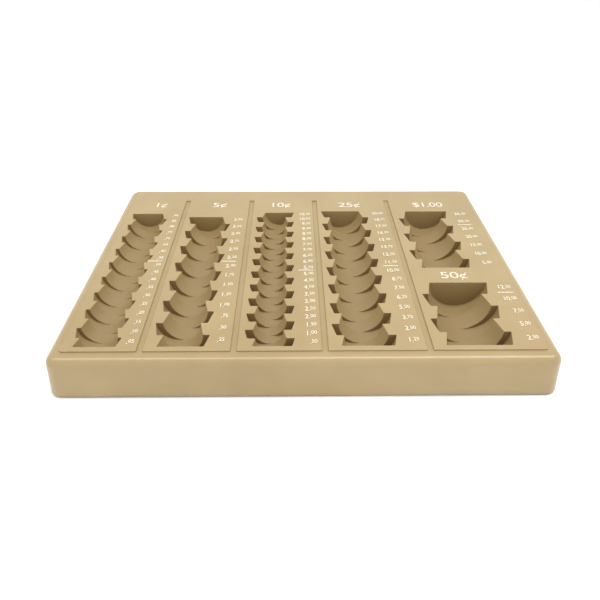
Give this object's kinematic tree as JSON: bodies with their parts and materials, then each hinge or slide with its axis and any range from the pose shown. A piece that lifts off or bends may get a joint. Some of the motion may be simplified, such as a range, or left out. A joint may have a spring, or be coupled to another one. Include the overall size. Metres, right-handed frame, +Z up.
{
  "type": "coin counting tray",
  "caption": "Low sand-coloured tray with stepped half-round troughs that stand coins on edge beside white value scales, for counting loose change by hand.",
  "frame": {"origin": "on the table, below the middle of the tray", "axes": "+X to the user's right, +Y away from the user, +Z up"},
  "size_m": [0.245, 0.189, 0.0231],
  "materials": {
    "tray_plastic": "moulded styrene, soft gloss, sand colour",
    "marking_white": "white hot-stamped foil on raised characters",
    "foot_rubber": "black rubber, matt"
  },
  "bodies": {
    "root": {"tray_moulding": "tray_plastic", "scale_penny": "marking_white", "heading_penny": "marking_white", "roll_line_penny": "marking_white", "scale_nickel": "marking_white", "heading_nickel": "marking_white", "roll_line_nickel": "marking_white", "scale_dime": "marking_white", "heading_dime": "marking_white", "roll_line_dime": "marking_white", "scale_quarter": "marking_white", "heading_quarter": "marking_white", "roll_line_quarter": "marking_white", "scale_dollar": "marking_white", "heading_dollar": "marking_white", "roll_line_dollar": "marking_white", "scale_half": "marking_white", "heading_half": "marking_white", "roll_line_half": "marking_white", "foot_front_left": "foot_rubber", "foot_front_right": "foot_rubber", "foot_back_left": "foot_rubber", "foot_back_right": "foot_rubber"}
  },
  "joints": []
}
